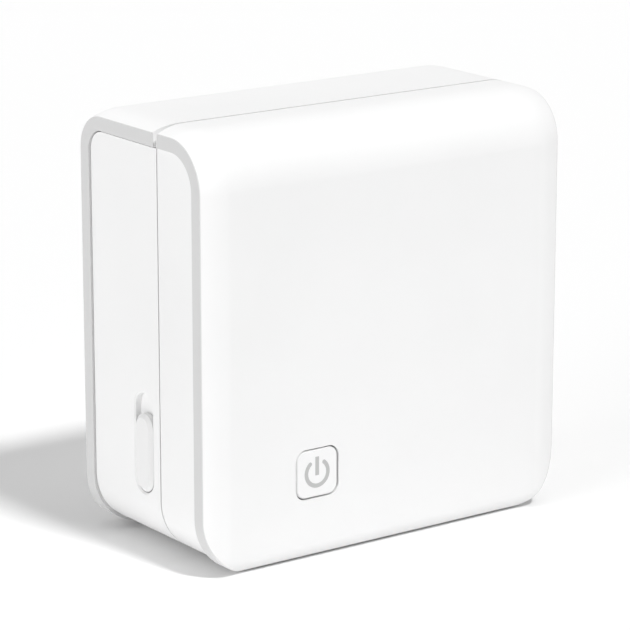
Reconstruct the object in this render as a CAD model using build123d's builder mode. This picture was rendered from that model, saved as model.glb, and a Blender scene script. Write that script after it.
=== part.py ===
from build123d import *
import math
import os

os.makedirs("parts", exist_ok=True)

# Portable thermal printer, in millimetres.
# X runs across the front, Y from the front face to the back, Z up from the table.
# The origin is at the middle of the footprint.

# Case: overall size and outer form
width = 83.0
depth = 42.4
height = 83.0
front_top_radius = 10.4
rear_top_radius = 8.0
low_edge_radius = 3.6
bottom_corner_radius = 11.6
core_corner_radius = 11.0
crown_run = 5.9
crown_drop = 1.3
strip_width = 2.6
side_inset = 0.35
bottom_inset = 0.8
wall = 1.8
cover_wall = 2.0

# Case: where it parts
front_depth = 15.4
paper_slot = 0.6
seam_gap = 0.3
rim_gap = 0.25
lip_height = 1.4
lip_thickness = 0.7
lip_clearance = 0.15
notch_width_top = 2.1
notch_width_low = 0.8
notch_reach = 4.5

# General clearances between pieces
running_gap = 0.05
press_gap = 0.01
moving_gap = 0.3
slide_gap = 0.2

# Cover hinge
hinge_pin_radius = 1.0
knuckle_radius = 2.3
knuckle_width = 2.0
knuckle_pin_inset = 0.2
ear_width = 2.4
ear_height = 6.0
ear_shoulder = 2.4
ear_lead = 0.6
hinge_bar_height = 7.2
trough_wall = 1.2
cover_edge_lead = 0.5

# Power button
button_side = 25.0
button_z = 16.9
button_width = 9.3
button_height = 9.2
button_radius = 2.0
button_gap = 0.3
button_sink = 0.1
button_flange = 0.8
button_flange_thickness = 0.65
button_chamfer = 0.2

# Release slider
slider_z = 19.95
slider_width = 5.6
slider_length = 15.2
slider_dome = 0.6
slider_slope = 51.0
slider_travel = 3.2
slider_stem_width = 2.2
slider_stem_length = 6.0
pocket_depth = 1.4
pocket_chamfer = 0.3
pocket_headroom = 0.6
pocket_back = 1.2
link_thickness = 1.2
link_standoff = 1.5
link_width = 5.0
link_head = 5.5
link_arm_height = 1.6
link_hook_height = 3.0
link_hook_width = 1.8
link_guide_start = 0.45
link_guide_length = 10.0
link_guide_wall = 1.0
catch_y = 4.2
catch_drop = 7.0
catch_radius = 1.2
catch_plate = 0.8
catch_plate_width = 6.0
latch_foot = 3.2
latch_spring_length = 8.9
latch_spring_radius = 1.4
latch_spring_gap = 0.4
latch_wire = 0.25
latch_turns = 4

# Paper roll bay: it fills the room that the board leaves in the depth, and the gears in the width
component_room = 3.8
side_room = 10.05
roll_clearance = 0.8
bay_wall = 1.2
bay_rear_angle = 40.0
cheek_wall = 1.5
cheek_rear_gap = 0.3
cheek_back_gap = 2.4
cheek_step_gap = 0.4
cheek_shoulder = 8.4
cheek_slope = 2.4
cheek_round = 2.0
shelf_depth = 6.4
shelf_overhang = 2.4
chassis_boss = 3.6

# Battery
battery_end_gap = 3.3
battery_front_gap = 2.25
battery_thickness = 9.5
battery_gap = 0.5
battery_radius = 2.0
lead_inset = 4.35
lead_radius = 0.6
lead_sides = 6
lead_pitch = 1.7
lead_bend = 1.2

# Circuit board
board_thickness = 1.0
board_side_lead = 0.7
board_floor_gap = 3.9
board_shelf_gap = 4.1
board_gap = 1.0
board_screw_inset = 3.5
switch_size = 6.0
switch_height = 2.0
plunger_radius = 1.5
plunger_height = 0.35

# Chips: distance from the board's middle across and up, then width and length
chips = [(6.0, -4.0, 7.0, 7.0), (12.0, 9.0, 6.0, 5.0), (-6.0, 1.5, 10.0, 13.0), (18.0, -4.0, 4.0, 3.0)]
chip_height = 1.0
coil_x = 20.0
coil_rise = 7.5
coil_radius = 2.6
coil_height = 2.4
connector_width = 4.0
connector_height = 2.0
connector_low_z = 16.0
connector_length = 4.0
ribbon_width = 18.0
ribbon_side = 18.0
ribbon_thickness = 0.2
ribbon_inset = 0.4
ribbon_bend = 2.0
ribbon_connector_width = 20.0
ribbon_connector_height = 4.0
ribbon_connector_depth = 2.2

# Charging socket, to the size of a Type-C receptacle
socket_z = 22.0
socket_width = 8.9
socket_height = 3.2
socket_length = 7.4
socket_wall = 0.3
socket_recess = 1.1
socket_margin = 1.5
socket_wall_back = 1.3
socket_gap = 0.3
socket_tongue = 0.7
socket_mouth_depth = 6.0

# Printing mechanism, set out from the platen's axis
platen_radius = 4.5
platen_drop = 10.0
mechanism_height = 22.9
platen_end_gap = 0.5
nip_gap = 0.25
shaft_radius = 1.5
bushing_radius = 2.8
bushing_flange = 0.25
bracket_inset = 0.6
bracket_wall = 1.3
bracket_plate = 1.2
bracket_standoff = 2.3
bracket_end_gap = 3.35
bracket_web_depth = 12.7
plate_lead = 6.15
plate_back_gap = 2.2
plate_corner = 2.0
gusset_lead = 2.85
gusset_round = 4.2
gusset_rear_height = 8.7
mount_screw_inset = 4.2
chassis_gap = 0.4
chassis_wall = 1.2
chassis_front_gap = 0.8
chassis_rear_lead = 3.65
chassis_rise = 5.6
chassis_bar = 1.5
chassis_slope = 4.6
notch_clearance = 0.3
head_lead = 0.4
head_inset = 1.2
head_top_gap = 0.1
head_thickness = 0.8
head_height = 10.0
sink_end_gap = 0.6
sink_thickness = 2.5
sink_height = 12.5
sink_fins = 5
fin_pitch = 10.0
fin_depth = 6.0
pivot_radius = 0.9
pivot_bead_radius = 1.6
pivot_drop = 6.2
head_spring_gap = 3.6
spring_x = 14.0
spring_width = 8.0
spring_strip = 0.3
spring_foot = 3.0
spring_reach = 3.5
spring_tail = 2.5
spring_bend = 0.8

# Gear train: teeth, module and layers across the machine
gear_module = 0.5
platen_teeth = 24
idler_small_teeth = 16
idler_large_teeth = 32
pinion_teeth = 12
pressure_angle = math.radians(20)
addendum = 0.8 * gear_module
dedendum = 1.15 * gear_module
backlash = 0.12
root_overlap = 0.03
gear_standoff = 0.6
gear_layer = 2.0
large_gear_width = 1.6
stud_radius = 0.8
stud_cap_radius = 1.4
stud_cap = 0.6
motor_lean = 3.0

# Motor
motor_radius = 5.0
motor_length = 12.0
motor_flange = 0.5
motor_ears = 2.0
motor_boss_radius = 2.0
motor_bore = 7.6
motor_shaft_radius = 0.75

# Fasteners and feet; the small rounds that repeat have a limited number of sides
screw_radius = 0.8
screw_head_radius = 1.5
screw_head = 0.6
screw_slot = 0.4
round_sides = 12
post_radius = 2.2
post_lead = 2.5
case_screw_length = 8.0
board_screw_length = 3.0
chassis_screw_length = 4.0
bracket_screw_length = 3.2
lug_thickness = 1.2
fuse_overlap = 0.4
lip_low_z = 12.0
foot_radius = 3.0
foot_inset = 6.3

# Tear bar and paper sensor
tear_bar_depth = 5.0
tear_bar_thickness = 0.8
tear_teeth = 38
tear_tooth_depth = 0.8
sensor_width = 3.2
sensor_height = 2.6
sensor_chamfer = 0.3

# Case planes that follow from the sizes above
half_width = width / 2
front_y = -depth / 2
rear_y = depth / 2
core_half = half_width - side_inset
core_inner = core_half - wall
inner_corner_radius = core_corner_radius - wall
floor_z = bottom_inset + wall
roof_z = height - wall
cover_roof_z = height - cover_wall
cover_inner_x = half_width - cover_wall
front_inner_y = front_y + wall
cover_inner_y = rear_y - cover_wall
front_edge_y = front_y + front_depth
cover_front_y = front_edge_y + paper_slot
frame_front_y = front_edge_y + seam_gap
hinge_y = rear_y - low_edge_radius
hinge_z = low_edge_radius
cover_edge_y = hinge_y - cover_edge_lead
frame_rear_y = cover_edge_y - rim_gap
rim_inner_z = height - crown_drop - strip_width
frame_top_z = rim_inner_z - rim_gap
rim_front_y = front_y + crown_drop + strip_width
frame_corner_radius = rear_top_radius - strip_width - crown_drop - rim_gap
trough_radius = low_edge_radius + moving_gap
ear_front_y = hinge_y - trough_radius - trough_wall
crown_start = half_width - crown_run
lip_outer_x = core_inner - lip_clearance
foot_x = half_width - bottom_corner_radius - foot_radius
button_x = button_side - half_width

# Board, roll bay and battery, from the front wall back and from the side panels in
board_front_y = front_inner_y + component_room
board_back_y = board_front_y + board_thickness
bay_front_y = board_back_y + board_gap
bay_radius = (cover_inner_y - bay_front_y - bay_wall) / 2
bay_outer = bay_radius + bay_wall
roll_y = cover_inner_y - bay_radius
roll_z = floor_z + battery_thickness + battery_gap + bay_outer
cheek_inner_x = core_inner - side_room
cheek_outer_x = cheek_inner_x + cheek_wall
cheek_rear_y = ear_front_y - cheek_rear_gap
cheek_back_y = cover_inner_y - cheek_back_gap
cheek_step_z = hinge_z + ear_height + cheek_step_gap
cheek_shoulder_z = roll_z + cheek_shoulder
ear_inner_x = cheek_inner_x + ear_lead
roll_width = 2 * (cheek_inner_x - roll_clearance)
battery_length = 2 * (cheek_inner_x - battery_end_gap)
battery_rear_y = ear_front_y - battery_gap - running_gap
battery_depth = battery_rear_y - bay_front_y - battery_front_gap
battery_y = battery_rear_y - battery_depth / 2
lead_x = lead_inset - battery_length / 2

# Platen, head and chassis
head_face_y = front_edge_y + head_lead
sink_front_y = head_face_y - head_thickness - sink_thickness
spring_plate_y = sink_front_y - head_spring_gap
platen_y = head_face_y + nip_gap + platen_radius
platen_z = height - platen_drop
shelf_z = platen_z - mechanism_height
shelf_middle_y = bay_front_y - shelf_overhang + shelf_depth / 2
pivot_y = head_face_y - head_thickness - sink_thickness / 2
pivot_z = platen_z - pivot_drop
bracket_inner_x = cheek_inner_x - bracket_inset
platen_half_length = bracket_inner_x - platen_end_gap
head_half_width = platen_half_length - head_inset
chassis_inner_x = bracket_inner_x + bracket_wall + chassis_gap
chassis_front_y = front_inner_y + chassis_front_gap
chassis_rear_y = platen_y + chassis_rear_lead
chassis_top_z = platen_z + chassis_rise
head_top_z = chassis_top_z - head_top_gap
sink_half_width = chassis_inner_x - sink_end_gap
bracket_top_z = cover_roof_z - bracket_standoff
bracket_web_z = bracket_top_z - bracket_web_depth
plate_half_width = core_inner - bracket_end_gap
plate_front_y = platen_y + plate_lead
plate_back_y = cover_inner_y - plate_back_gap
gusset_front_y = platen_y - gusset_lead
tear_pitch = roll_width / tear_teeth
mount_screw_x = platen_half_length - mount_screw_inset

# The platen leaves the head along this direction as the cover starts to open
platen_arm = math.hypot(platen_y - hinge_y, platen_z - hinge_z)
leave_y = (platen_z - hinge_z) / platen_arm
leave_z = (hinge_y - platen_y) / platen_arm
leave_angle = math.degrees(math.atan2(leave_z, leave_y))

# Gear axes and the layers of the gears
idler_distance = gear_module * (platen_teeth + idler_small_teeth) / 2
idler_y = platen_y - idler_distance * leave_y
idler_z = platen_z - idler_distance * leave_z
motor_distance = gear_module * (idler_large_teeth + pinion_teeth) / 2
motor_y = idler_y - motor_lean
motor_z = idler_z - math.sqrt(motor_distance**2 - motor_lean**2)
motor_angle = math.degrees(math.atan2(motor_z - idler_z, motor_y - idler_y))
gear_start_x = chassis_inner_x + chassis_wall + gear_standoff
large_gear_x = gear_start_x + gear_layer + moving_gap
stud_end_x = large_gear_x + large_gear_width + moving_gap

# Slider, latch and catch
slider_pocket_x = core_half - pocket_depth
slider_shoulder_x = half_width - slider_dome
link_outer_x = slider_pocket_x - pocket_back - link_standoff
link_inner_x = link_outer_x - link_thickness
link_guide_y = link_width / 2 + slide_gap + link_guide_wall / 2
track_length = slider_length + slider_travel + pocket_headroom + 2 * slide_gap
track_middle_z = slider_z - slider_length / 2 - slide_gap + track_length / 2
link_guide_z = track_middle_z + track_length / 2 + link_guide_start
catch_z = platen_z - catch_drop
catch_outer_x = link_outer_x + moving_gap + catch_plate
link_bottom_z = slider_z - slider_stem_length / 2
link_top_z = catch_z + link_head
latch_foot_z = shelf_z - bay_wall - latch_spring_length
latch_spring_x = link_inner_x - latch_spring_gap - latch_spring_radius
cheek_ledge = link_inner_x - moving_gap - cheek_outer_x

# Board details and fastener places
board_half_width = cheek_inner_x + board_side_lead
ribbon_x = ribbon_side - board_half_width
board_low_z = floor_z + board_floor_gap
board_top_z = shelf_z - board_shelf_gap
board_middle_z = (board_low_z + board_top_z) / 2
board_screw_x = board_half_width - board_screw_inset
board_screw_low_z = board_low_z + board_screw_inset
board_screw_top_z = board_top_z - board_screw_inset
socket_y = board_back_y + socket_height / 2
socket_end_x = core_half - socket_recess
ribbon_y = board_front_y - ribbon_connector_depth + ribbon_inset
case_post_x = cheek_outer_x + post_lead
case_screw_places = [
    (-case_post_x, board_screw_low_z), (case_post_x, board_screw_low_z),
    (-case_post_x, board_top_z), (case_post_x, board_top_z),
]
board_screw_places = [(-board_screw_x, board_screw_top_z), (board_screw_x, board_screw_low_z)]
chassis_screw_places = [(-mount_screw_x, shelf_middle_y), (mount_screw_x, shelf_middle_y)]
bracket_screw_y = (plate_front_y + plate_back_y) / 2
bracket_screw_places = [(-mount_screw_x, bracket_screw_y), (mount_screw_x, bracket_screw_y)]
foot_places = [
    (-foot_x, rim_front_y + foot_inset), (foot_x, rim_front_y + foot_inset),
    (-foot_x, frame_rear_y - foot_inset), (foot_x, frame_rear_y - foot_inset),
]


def yz_plane(x):
    """Side-view plane at x, with local axes along +Y and +Z."""
    return Plane.YZ.offset(x)


def xz_plane(y):
    """Front-view plane at y, with local axes along +X and +Z; it extrudes to the front."""
    return Plane.XZ.offset(-y)


def side_path():
    """Closed side view of the case, starting in the middle of the top."""
    return FilletPolyline(
        (0, height), (rear_y, height), (rear_y, 0), (front_y, 0), (front_y, height), (0, height),
        radius=[0, rear_top_radius, low_edge_radius, low_edge_radius, front_top_radius],
    )


def front_slab(half, low, high, radius):
    """Case layer as seen from the front, with its two bottom corners rounded."""
    with BuildPart(mode=Mode.PRIVATE) as slab:
        with BuildSketch(Plane.XZ) as view:
            with Locations((0, (low + high) / 2)):
                Rectangle(2 * half, high - low)
            fillet(view.vertices().group_by(Axis.Y)[0], radius)
        extrude(amount=depth, both=True)
    return slab.part


def window_slab(half):
    """Inset middle of the case as seen from the side, open at the bottom."""
    low = -2 * low_edge_radius
    with BuildPart(mode=Mode.PRIVATE) as slab:
        with BuildSketch(Plane.YZ):
            with BuildLine():
                FilletPolyline(
                    (rim_front_y, low), (cover_edge_y, low), (cover_edge_y, rim_inner_z), (rim_front_y, rim_inner_z),
                    radius=[0, 0, rear_top_radius - strip_width - crown_drop,
                            front_top_radius - strip_width - crown_drop],
                    close=True,
                )
            make_face()
        extrude(amount=half, both=True)
    return slab.part


def side_frame(low, high, front, rear, corner, band):
    """Side-view outline of a panel edge: a band that runs round three sides of the panel."""
    with BuildSketch(Plane.YZ) as view:
        with BuildLine():
            FilletPolyline((front, low), (rear, low), (rear, high), (front, high),
                           radius=[0, 0, corner, 0], close=True)
        make_face()
        with Locations(((front + rear) / 2, (low + high) / 2 - band)):
            Rectangle(rear - front - 2 * band, high - low, mode=Mode.SUBTRACT)
    return view.sketch


def gear_solid(y, z, teeth, start_angle, x0, x1):
    """Spur gear about an axis along X at y, z, with one tooth centred on start_angle."""
    pitch_radius = gear_module * teeth / 2
    base_radius = pitch_radius * math.cos(pressure_angle)
    root_radius = pitch_radius - dedendum
    tip_radius = pitch_radius + addendum
    middle = math.pi / (2 * teeth) - backlash / (2 * pitch_radius) + math.tan(pressure_angle) - pressure_angle

    def flank(radius):
        turn = math.acos(min(1.0, base_radius / radius))
        half = middle - (math.tan(turn) - turn)
        return radius * math.cos(half), radius * math.sin(half)

    upper = [flank(radius) for radius in (root_radius, pitch_radius, tip_radius)]
    lower = [(x, -y) for x, y in reversed(upper)]
    with BuildPart(mode=Mode.PRIVATE) as gear:
        with BuildSketch(Plane(origin=(x0, y, z), x_dir=(0, 1, 0), z_dir=(1, 0, 0))):
            Circle(root_radius + root_overlap)
            with PolarLocations(0, teeth, start_angle=start_angle):
                with BuildLine():
                    Polyline(*upper, *lower, close=True)
                make_face()
        extrude(amount=x1 - x0)
    return gear.part


def side_cylinder(x0, x1, y, z, radius):
    """Solid cylinder along X, kept out of the open block until it is added."""
    return Pos((x0 + x1) / 2, y, z) * Rot(0, 90, 0) * Cylinder(radius, abs(x1 - x0), mode=Mode.PRIVATE)


def front_screw(x, z, seat_y, length):
    """Screw driven towards the front, with its slotted head behind seat_y."""
    with BuildPart(mode=Mode.PRIVATE) as screw:
        with BuildSketch(xz_plane(seat_y + screw_head)):
            with Locations((x, z)):
                RegularPolygon(screw_head_radius, round_sides)
        extrude(amount=screw_head)
        with BuildSketch(xz_plane(seat_y)):
            with Locations((x, z)):
                RegularPolygon(screw_radius, round_sides)
        extrude(amount=length)
        with BuildSketch(xz_plane(seat_y + screw_head)):
            with Locations((x, z)):
                Rectangle(2 * screw_radius, screw_slot)
        extrude(amount=screw_head / 2, mode=Mode.SUBTRACT)
    return screw.part


# Outer form of the whole case: side view, cut to the front view, with rolled side edges
with BuildPart() as crown_cut:
    crown_radius = (crown_run**2 + crown_drop**2) / (2 * crown_drop)
    with BuildLine(yz_plane(crown_start)) as crown_path:
        side_path()
    with BuildSketch(Plane.XZ):
        with BuildLine():
            RadiusArc((crown_start, height), (half_width, height - crown_drop), crown_radius)
            Polyline(
                (half_width, height - crown_drop), (half_width + 1, height - crown_drop),
                (half_width + 1, height + 1), (crown_start, height + 1), (crown_start, height),
            )
        make_face()
    sweep(path=crown_path.wires()[0])

with BuildPart() as case_form:
    with BuildSketch(Plane.YZ):
        with BuildLine():
            side_path()
        make_face()
    extrude(amount=half_width, both=True)
    add(front_slab(half_width, 0, height, bottom_corner_radius), mode=Mode.INTERSECT)
    add(crown_cut.part, mode=Mode.SUBTRACT)
    add(mirror(crown_cut.part, about=Plane.YZ), mode=Mode.SUBTRACT)

# Belt cut away from the case's sides and bottom, which leaves its rims standing proud
with BuildPart() as belt_cut:
    add(window_slab(half_width + 1))
    add(front_slab(core_half, bottom_inset, 2 * height, core_corner_radius), mode=Mode.SUBTRACT)

# V-shaped flare at each end of the paper slot
with BuildPart() as slot_flare:
    slot_middle_y = front_edge_y + paper_slot / 2
    for x, top_width, low_width in (
        (half_width + 0.2, notch_width_top, notch_width_low),
        (half_width - notch_reach, paper_slot, paper_slot),
    ):
        with BuildSketch(yz_plane(x)):
            with BuildLine():
                Polyline(
                    (slot_middle_y - top_width / 2, height + 0.1), (slot_middle_y + top_width / 2, height + 0.1),
                    (slot_middle_y + low_width / 2, rim_inner_z - 0.2),
                    (slot_middle_y - low_width / 2, rim_inner_z - 0.2),
                    close=True,
                )
            make_face()
    loft()
    mirror(about=Plane.YZ)

# Hollow of the front shell
with BuildPart() as front_hollow:
    with BuildSketch(Plane.YZ):
        with BuildLine():
            FilletPolyline(
                (front_inner_y, floor_z), (rear_y, floor_z), (rear_y, roof_z), (front_inner_y, roof_z),
                radius=[low_edge_radius - wall, 0, 0, front_top_radius - wall], close=True,
            )
        make_face()
    extrude(amount=core_inner, both=True)
    add(front_slab(core_inner, floor_z, height, inner_corner_radius), mode=Mode.INTERSECT)

# Front shell: front face, front part of the roof, and the posts behind it
with BuildPart() as front_shell:
    add(case_form.part)
    add(belt_cut.part, mode=Mode.SUBTRACT)
    split(bisect_by=xz_plane(front_edge_y), keep=Keep.TOP)
    add(front_hollow.part, mode=Mode.SUBTRACT)
    add(slot_flare.part, mode=Mode.SUBTRACT)
    with BuildSketch(xz_plane(front_inner_y)):
        with Locations(*case_screw_places):
            RegularPolygon(post_radius, round_sides)
    extrude(amount=front_inner_y - front_edge_y)
    with BuildSketch(xz_plane(front_inner_y)):
        with Locations(*board_screw_places):
            RegularPolygon(post_radius, round_sides)
    extrude(amount=front_inner_y - board_front_y)
    with BuildSketch(xz_plane(front_edge_y)):
        with Locations(*case_screw_places):
            RegularPolygon(screw_radius + press_gap, round_sides)
    extrude(amount=case_screw_length, mode=Mode.SUBTRACT)
    with BuildSketch(xz_plane(board_front_y)):
        with Locations(*board_screw_places):
            RegularPolygon(screw_radius + press_gap, round_sides)
    extrude(amount=board_screw_length, mode=Mode.SUBTRACT)
    with BuildSketch(xz_plane(front_inner_y)):
        with Locations((button_x, button_z)):
            RectangleRounded(button_width + 2 * button_gap, button_height + 2 * button_gap,
                             button_radius + button_gap)
    extrude(amount=wall + 1, mode=Mode.SUBTRACT)
    with BuildSketch(yz_plane(core_inner - 0.5)):
        with Locations((socket_y, socket_z)):
            SlotOverall(socket_width + 2 * socket_gap, socket_height + 2 * socket_gap, rotation=90)
    extrude(amount=wall + 1, mode=Mode.SUBTRACT)
front_shell.part.label = "front_shell"
export_step(front_shell.part, "parts/front_shell.step")

# Hinge trough: the space that the cover's lower edge turns through about the hinge
with BuildPart() as trough:
    trough_top_z = hinge_z + cover_edge_lead + moving_gap
    add(side_cylinder(-half_width - moving_gap, half_width + moving_gap, hinge_y, hinge_z, trough_radius))
    with BuildSketch() as open_view:
        with Locations((0, hinge_y - trough_radius)):
            Rectangle(width + 2 * moving_gap, height, align=(Align.CENTER, Align.MIN))
        fillet(open_view.vertices().group_by(Axis.Y)[0], bottom_corner_radius + moving_gap)
    extrude(amount=height, both=True, mode=Mode.INTERSECT)
    split(bisect_by=Plane.XY.offset(trough_top_z), keep=Keep.BOTTOM)

# Wall of the trough, between the battery and the cover's edge
with BuildPart() as trough_bar:
    with BuildSketch(Plane.YZ):
        with Locations((hinge_y, hinge_z)):
            Circle(trough_radius + trough_wall)
        with Locations((hinge_y, hinge_z + moving_gap)):
            Rectangle(4 * trough_radius, 2 * trough_radius, align=(Align.CENTER, Align.MIN),
                      mode=Mode.SUBTRACT)
        with Locations((hinge_y - trough_radius / 2, hinge_z)):
            Rectangle(4 * trough_radius, 4 * trough_radius, align=(Align.MIN, Align.CENTER),
                      mode=Mode.SUBTRACT)
    extrude(amount=core_inner, both=True)
    add(front_slab(core_half, bottom_inset, height, core_corner_radius), mode=Mode.INTERSECT)

# Middle frame: side panels and floor in one moulding, with the cover's hinge ears
with BuildPart() as mid_frame:
    with BuildSketch(Plane.YZ):
        with BuildLine():
            FilletPolyline(
                (frame_front_y, -1), (frame_rear_y, -1), (frame_rear_y, frame_top_z), (frame_front_y, frame_top_z),
                radius=[0, 0, frame_corner_radius, 0], close=True,
            )
        make_face()
    extrude(amount=core_half, both=True)
    add(front_slab(core_half, bottom_inset, 2 * height, core_corner_radius), mode=Mode.INTERSECT)
    add(front_slab(core_inner, floor_z, 3 * height, inner_corner_radius), mode=Mode.SUBTRACT)
    add(trough_bar.part)
    add(trough.part, mode=Mode.SUBTRACT)
    # Light lip inside the panel edges, under the rims of the shell and the cover
    for side in (-1, 1):
        lip_view = side_frame(lip_low_z, frame_top_z + lip_height, frame_front_y - lip_height,
                              frame_rear_y + lip_height, frame_corner_radius + lip_height, 2 * lip_height)
        seat_view = side_frame(lip_low_z, frame_top_z, frame_front_y, frame_rear_y, frame_corner_radius,
                               lip_height)
        add(extrude(Pos(side * (lip_outer_x - lip_thickness / 2), 0, 0) * lip_view,
                    amount=lip_thickness / 2, both=True, mode=Mode.PRIVATE))
        add(extrude(Pos(side * (core_inner - lip_clearance / 2), 0, 0) * seat_view,
                    amount=lip_clearance / 2 + press_gap, both=True, mode=Mode.PRIVATE))
        # Screw lugs that clamp the frame to the front shell's posts
        with BuildSketch(xz_plane(frame_front_y + lug_thickness)):
            with Locations((side * (core_inner + case_post_x - post_radius) / 2, board_screw_low_z),
                           (side * (core_inner + case_post_x - post_radius) / 2, board_top_z)):
                Rectangle(core_inner - case_post_x + post_radius + fuse_overlap, 2 * post_radius)
            with Locations((side * case_post_x, board_screw_low_z), (side * case_post_x, board_top_z)):
                RegularPolygon(screw_radius + running_gap, round_sides, mode=Mode.SUBTRACT)
        extrude(amount=lug_thickness)
        # Hinge ear: a leg on the trough wall that reaches over to the pin
        with BuildSketch(yz_plane(side * ear_inner_x)):
            with BuildLine():
                Polyline(
                    (ear_front_y, hinge_z + moving_gap), (hinge_y - trough_radius, hinge_z + moving_gap),
                    (hinge_y - trough_radius, trough_top_z), (hinge_y, trough_top_z),
                    (hinge_y, hinge_z + knuckle_radius), (ear_front_y + ear_shoulder, hinge_z + ear_height),
                    (ear_front_y, hinge_z + ear_height), close=True,
                )
            make_face()
            with Locations((hinge_y, hinge_z)):
                Circle(knuckle_radius)
                Circle(hinge_pin_radius + running_gap, mode=Mode.SUBTRACT)
        extrude(amount=side * ear_width)
    # Guides for the latch link on the left panel
    with BuildSketch(Plane.XY.offset(link_guide_z)):
        with Locations((-(core_inner + link_inner_x) / 2, link_guide_y),
                       (-(core_inner + link_inner_x) / 2, -link_guide_y)):
            Rectangle(core_inner - link_inner_x + fuse_overlap, link_guide_wall)
    extrude(amount=link_guide_length)
    # Track for the release slider: a pocket in the left panel with a slot in its floor
    with BuildSketch(yz_plane(-core_inner)):
        with Locations((0, track_middle_z)):
            SlotOverall(track_length + 2 * wall, slider_width + 2 * slide_gap + 2 * wall, rotation=90)
    extrude(amount=pocket_depth + pocket_back - wall)
    with BuildSketch(yz_plane(-slider_pocket_x)):
        with Locations((0, track_middle_z)):
            SlotOverall(track_length, slider_width + 2 * slide_gap, rotation=90)
    extrude(amount=-pocket_depth, mode=Mode.SUBTRACT)
    with BuildSketch(yz_plane(-core_half)):
        with Locations((0, track_middle_z)):
            SlotOverall(track_length + 2 * pocket_chamfer, slider_width + 2 * slide_gap + 2 * pocket_chamfer,
                        rotation=90)
    extrude(amount=pocket_chamfer, taper=45, mode=Mode.SUBTRACT)
    with BuildSketch(yz_plane(-core_half)):
        with Locations((0, slider_z + slider_travel / 2)):
            Rectangle(slider_stem_width + 2 * slide_gap, slider_stem_length + slider_travel + 2 * moving_gap)
    extrude(amount=pocket_depth + pocket_back + 1, mode=Mode.SUBTRACT)
mid_frame.part.label = "mid_frame"
export_step(mid_frame.part, "parts/mid_frame.step")

# Rear cover: rear wall, rear part of the roof and the rims, hinged along its lower edge
with BuildPart() as cover_hollow:
    with BuildSketch(Plane.YZ):
        with BuildLine():
            FilletPolyline(
                (front_y, hinge_bar_height), (cover_inner_y, hinge_bar_height),
                (cover_inner_y, cover_roof_z), (front_y, cover_roof_z),
                radius=[0, 0, rear_top_radius - cover_wall, 0], close=True,
            )
        make_face()
    extrude(amount=cover_inner_x, both=True)
    add(front_slab(cover_inner_x, cover_wall, height, bottom_corner_radius - cover_wall), mode=Mode.INTERSECT)

with BuildPart() as rear_cover:
    add(case_form.part)
    add(window_slab(half_width + 1), mode=Mode.SUBTRACT)
    split(bisect_by=xz_plane(cover_front_y), keep=Keep.BOTTOM)
    add(cover_hollow.part, mode=Mode.SUBTRACT)
    add(slot_flare.part, mode=Mode.SUBTRACT)
    for side in (-1, 1):
        for x in (ear_inner_x - moving_gap - knuckle_width, ear_inner_x + ear_width + moving_gap):
            with BuildSketch(yz_plane(side * x)):
                with Locations((hinge_y, hinge_z)):
                    Circle(knuckle_radius)
            extrude(amount=side * knuckle_width)
        with BuildSketch(yz_plane(side * (ear_inner_x - moving_gap))):
            with Locations((hinge_y, hinge_z)):
                Circle(knuckle_radius + moving_gap)
            with Locations((hinge_y + moving_gap, hinge_z)):
                Rectangle(4 * knuckle_radius, 4 * knuckle_radius, align=(Align.MAX, Align.MIN))
        extrude(amount=side * (ear_width + 2 * moving_gap), mode=Mode.SUBTRACT)
        with BuildSketch(yz_plane(side * (ear_inner_x - moving_gap - knuckle_width))):
            with Locations((hinge_y, hinge_z)):
                Circle(hinge_pin_radius + press_gap)
        extrude(amount=side * (ear_width + 2 * knuckle_width + 2 * moving_gap), mode=Mode.SUBTRACT)
    with BuildSketch(Plane.XY.offset(cover_roof_z)):
        with Locations(*bracket_screw_places):
            RegularPolygon(post_radius, round_sides)
    extrude(amount=-bracket_standoff)
    with BuildSketch(Plane.XY.offset(cover_roof_z - bracket_standoff)):
        with Locations(*bracket_screw_places):
            RegularPolygon(screw_radius + press_gap, round_sides)
    extrude(amount=bracket_screw_length, mode=Mode.SUBTRACT)
rear_cover.part.label = "rear_cover"
export_step(rear_cover.part, "parts/rear_cover.step")

# Hinge pins, pressed into the cover's knuckles
with BuildPart() as hinge_pins:
    pin_start_x = ear_inner_x - moving_gap - knuckle_width + knuckle_pin_inset
    pin_end_x = ear_inner_x + ear_width + moving_gap + knuckle_width - knuckle_pin_inset
    for side in (-1, 1):
        add(side_cylinder(side * pin_start_x, side * pin_end_x, hinge_y, hinge_z, hinge_pin_radius))
hinge_pins.part.label = "hinge_pins"
export_step(hinge_pins.part, "parts/hinge_pins.step")

# Power button: a rounded key with a flange that keeps it behind the front wall
with BuildPart() as power_button:
    face_y = front_y + button_sink
    flange_y = front_inner_y + moving_gap
    button_back_y = flange_y + button_flange_thickness
    with BuildSketch(xz_plane(button_back_y)):
        with Locations((button_x, button_z)):
            RectangleRounded(button_width, button_height, button_radius)
    extrude(amount=button_back_y - face_y)
    chamfer(power_button.edges().group_by(Axis.Y)[0], button_chamfer)
    with BuildSketch(xz_plane(button_back_y)):
        with Locations((button_x, button_z)):
            RectangleRounded(button_width + 2 * button_flange, button_height + 2 * button_flange,
                             button_radius + button_flange)
    extrude(amount=button_flange_thickness)
power_button.part.label = "power_button"
export_step(power_button.part, "parts/power_button.step")

# Push switch behind the button
with BuildPart() as tact_switch:
    with BuildSketch(xz_plane(board_front_y)):
        with Locations((button_x, button_z)):
            Rectangle(switch_size, switch_size)
    extrude(amount=switch_height)
    with BuildSketch(xz_plane(board_front_y - switch_height)):
        with Locations((button_x, button_z)):
            Circle(plunger_radius)
    extrude(amount=plunger_height)
tact_switch.part.label = "tact_switch"
export_step(tact_switch.part, "parts/tact_switch.step")

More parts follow.
